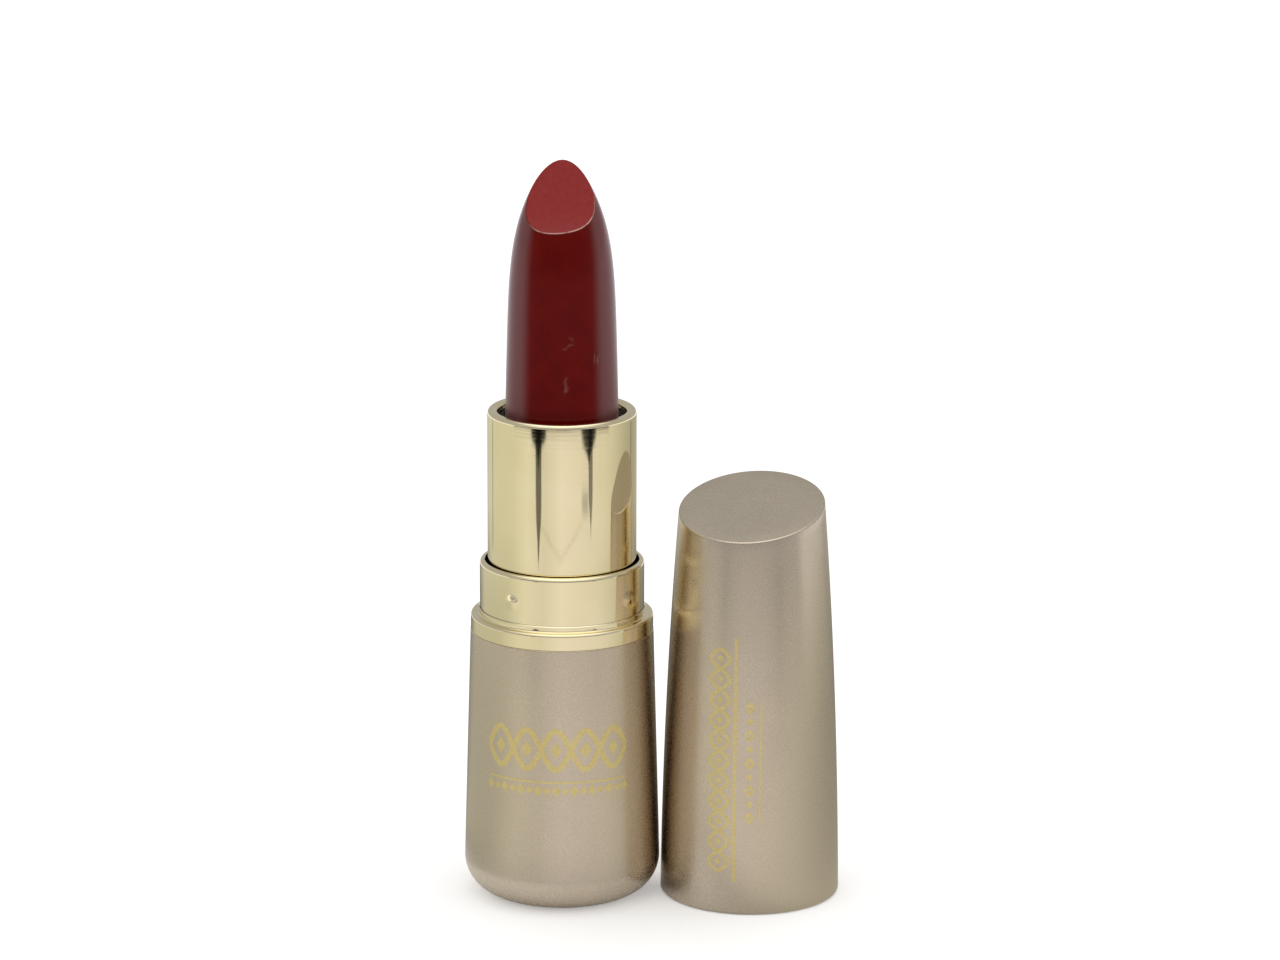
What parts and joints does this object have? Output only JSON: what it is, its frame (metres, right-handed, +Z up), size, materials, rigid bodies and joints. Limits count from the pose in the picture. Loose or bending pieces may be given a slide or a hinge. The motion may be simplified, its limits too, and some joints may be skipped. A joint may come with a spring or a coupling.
{
  "type": "lipstick case",
  "caption": "Twist-up lipstick case, open: rounded champagne base with gold tube and raised wax bullet, slant-topped cap standing beside it.",
  "frame": {"origin": "middle of the base's flat foot, on the axis of the base", "axes": "+Z up along the base's axis; +X from the base towards the cap; +Y away from the slanted facet of the wax"},
  "size_m": [0.0407, 0.0212, 0.0805],
  "materials": {
    "champagne_lacquer": "satin metallic lacquer",
    "gold_plate": "polished, gold anodised",
    "wax": "smooth moulded wax with a soft sheen",
    "dark_plastic": "moulded",
    "pale_plastic": "moulded",
    "steel": "bare turned steel",
    "silicone": "matt",
    "label_film": "blank satin film"
  },
  "bodies": {
    "base": {"base_shell": "champagne_lacquer", "shade_label": "label_film", "base_weight": "steel", "base_liner": "dark_plastic", "fork_tube": "dark_plastic", "friction_ring": "silicone", "collar": "gold_plate", "trim_ring": "gold_plate"},
    "tube": {"outer_tube": "gold_plate", "spiral_sleeve": "pale_plastic"},
    "carrier": {"bullet_cup": "pale_plastic", "bullet": "wax"},
    "cap": {"cap_shell": "champagne_lacquer", "cap_liner": "dark_plastic", "cap_weight": "steel"}
  },
  "joints": [
    {"name": "twist", "type": "hinge", "parent": "base", "child": "tube", "pos_m": [0, 0, 0], "axis": [0, 0, 1], "range_deg": [0, 504]},
    {"name": "bullet_slide", "type": "slide", "parent": "base", "child": "carrier", "axis": [0, 0, 1], "range_m": [-0.028, 0]},
    {"name": "cap_lift", "type": "slide", "parent": "base", "child": "cap", "axis": [0, 0, 1], "range_m": [0, 0.09]}
  ],
  "couplings": [
    {"joint": "bullet_slide", "follows": "twist", "m_per_rad": -0.0031831}
  ]
}
